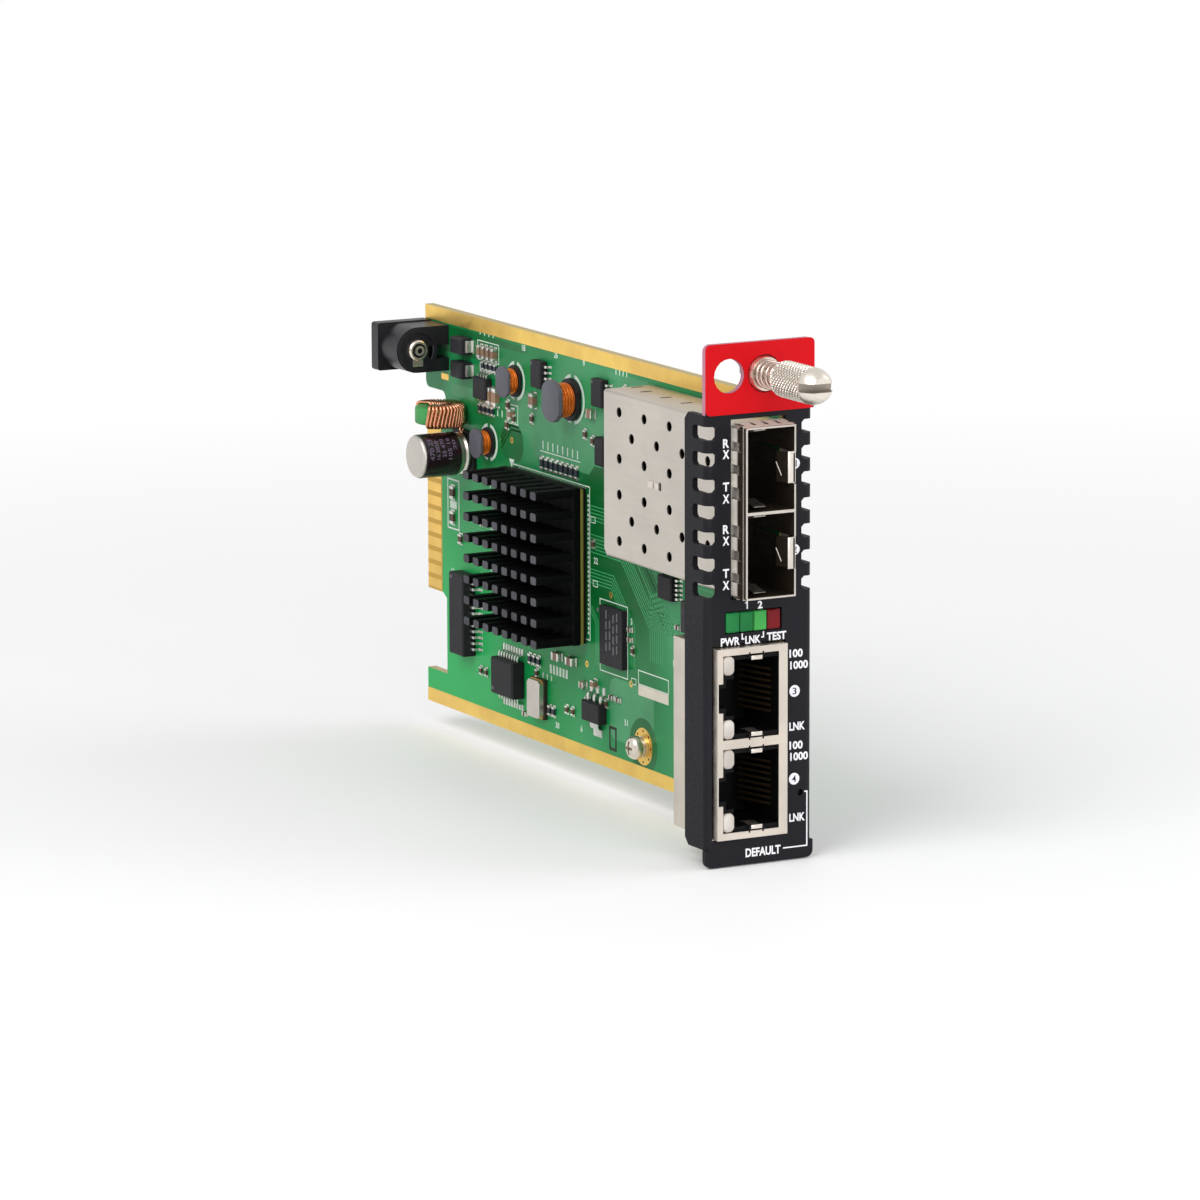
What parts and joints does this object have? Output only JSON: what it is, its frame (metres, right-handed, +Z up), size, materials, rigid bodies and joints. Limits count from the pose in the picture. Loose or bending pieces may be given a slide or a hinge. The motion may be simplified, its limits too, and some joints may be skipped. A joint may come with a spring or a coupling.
{
  "type": "media converter card",
  "caption": "Slide-in rack card with a folded faceplate, captive thumbscrew, optical cage, RJ45 jack, status lamps and a circuit board with a rear edge connector.",
  "frame": {"origin": "on the thumbscrew's axis, in the plane of the faceplate's rear face, which seats on the chassis", "axes": "+X to the right seen from the front, +Y to the rear along the card and the way it slides in, +Z up"},
  "size_m": [0.0206, 0.1505, 0.088],
  "materials": {
    "anodised_black": "black anodised",
    "black_plastic": "moulded",
    "board_green": "green solder mask over glass laminate",
    "button_grey": "moulded",
    "cage_nickel": "satin nickel-plated sheet",
    "can_aluminium": "satin",
    "ceramic_brown": "ceramic",
    "ceramic_tan": "ceramic",
    "chip_black": "moulded epoxy",
    "chip_substrate": "laminate",
    "copper": "enamelled copper wire",
    "core_green": "green epoxy coat",
    "ferrite": "sintered ferrite",
    "gasket_copper": "plated copper alloy",
    "gold": "gold plate",
    "label_red": "satin printed film",
    "led_clear": "milky lens",
    "led_green": "tinted lens",
    "led_red": "tinted lens",
    "nickel": "satin nickel plate",
    "panel_black": "satin powder coat",
    "seal_rubber": "moulded",
    "sleeve_brown": "shrink sleeve",
    "spring_steel": "bright wire",
    "tin": "tin plate",
    "zinc_steel": "zinc plate"
  },
  "bodies": {
    "card": {"board_screw": "zinc_steel", "board_standoff": "zinc_steel", "capacitor_can": "can_aluminium", "capacitor_seal": "seal_rubber", "capacitor_sleeve": "sleeve_brown", "chip_capacitors": "ceramic_tan", "chip_resistors": "chip_black", "choke_core": "core_green", "choke_winding": "copper", "circuit_board": "board_green", "dc_jack_contact": "nickel", "dc_jack_housing": "black_plastic", "dc_jack_pin": "nickel", "default_switch": "black_plastic", "edge_contacts": "gold", "faceplate": "panel_black", "ground_strips": "gold", "heatsink": "anodised_black", "inductor_core_1": "ferrite", "inductor_core_2": "ferrite", "inductor_core_3": "ferrite", "inductor_winding_1": "copper", "inductor_winding_2": "copper", "inductor_winding_3": "copper", "interface_chip": "chip_black", "interface_chip_leads": "tin", "magnetics_leads": "tin", "magnetics_module": "chip_black", "memory_chip": "chip_black", "oscillator_base": "ceramic_brown", "oscillator_can": "can_aluminium", "power_chip_leads": "tin", "power_chips": "chip_black", "power_diodes": "chip_black", "regulator": "chip_black", "regulator_leads": "tin", "rj45_contacts": "gold", "rj45_housing": "black_plastic", "rj45_led_1": "led_clear", "rj45_led_2": "led_clear", "rj45_led_3": "led_clear", "rj45_led_4": "led_clear", "rj45_shield": "cage_nickel", "sfp_cage_base": "cage_nickel", "sfp_cage_cover": "cage_nickel", "sfp_cage_divider": "cage_nickel", "sfp_connector_lower": "black_plastic", "sfp_connector_upper": "black_plastic", "sfp_gasket": "gasket_copper", "status_led_green_1": "led_green", "status_led_green_2": "led_green", "status_led_green_3": "led_green", "status_led_holder": "black_plastic", "status_led_red": "led_red", "switch_chip": "chip_substrate", "thumbscrew_ferrule": "nickel", "top_label": "label_red"},
    "screw_carrier": {"thumbscrew_spring": "spring_steel"},
    "screw": {"thumbscrew": "nickel"},
    "button": {"default_button": "button_grey"}
  },
  "joints": [
    {"name": "thumbscrew_press", "type": "slide", "parent": "card", "child": "screw_carrier", "axis": [0, 1, 0], "range_m": [0, 0.0026], "stiffness_N_per_m": 300, "deforming": ["thumbscrew_spring"]},
    {"name": "thumbscrew_turn", "type": "hinge", "parent": "screw_carrier", "child": "screw", "pos_m": [0, 0, 0], "axis": [0, 1, 0], "continuous": true},
    {"name": "default_press", "type": "slide", "parent": "card", "child": "button", "axis": [0, 1, 0], "range_m": [0, 0.00025], "stiffness_N_per_m": 150}
  ]
}
